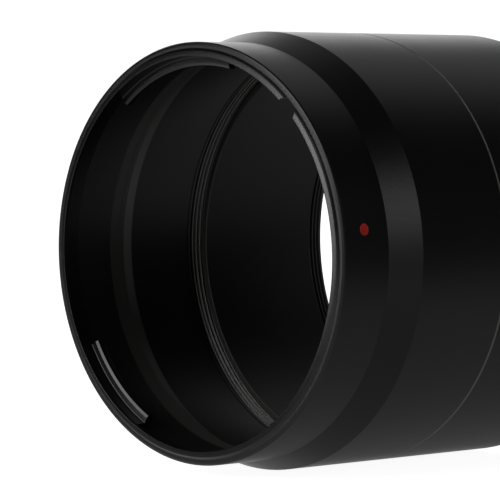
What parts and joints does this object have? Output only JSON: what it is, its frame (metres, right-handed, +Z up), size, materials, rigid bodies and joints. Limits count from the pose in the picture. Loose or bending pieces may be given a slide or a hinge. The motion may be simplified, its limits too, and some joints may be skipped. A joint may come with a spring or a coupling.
{
  "type": "lens adapter tube",
  "caption": "Black metal lens adapter tube in screwed-together halves, with a lugged bayonet and index dot at one end and a fine filter thread at the other.",
  "frame": {"origin": "centre of the bayonet's front face, on the optical axis", "axes": "+Y along the optical axis from the bayonet to the filter thread, +Z up with the index dot on the +X side, just above the horizontal"},
  "size_m": [0.064, 0.0565, 0.064],
  "materials": {
    "bayonet_ring": "satin black anodised, turned",
    "rear_tube": "satin black anodised, fine bead-blasted grain outside, turned inside",
    "index_dot": "red enamel fill, semi-gloss",
    "front_tube": "satin black anodised, fine bead-blasted grain outside, turned inside"
  },
  "bodies": {
    "rear": {"bayonet_ring": "bayonet_ring", "rear_tube": "rear_tube", "index_dot": "index_dot"},
    "front": {"front_tube": "front_tube"}
  },
  "joints": [
    {"name": "unscrew", "type": "slide", "parent": "rear", "child": "front", "axis": [0, 1, 0], "range_m": [0, 0.012]}
  ]
}
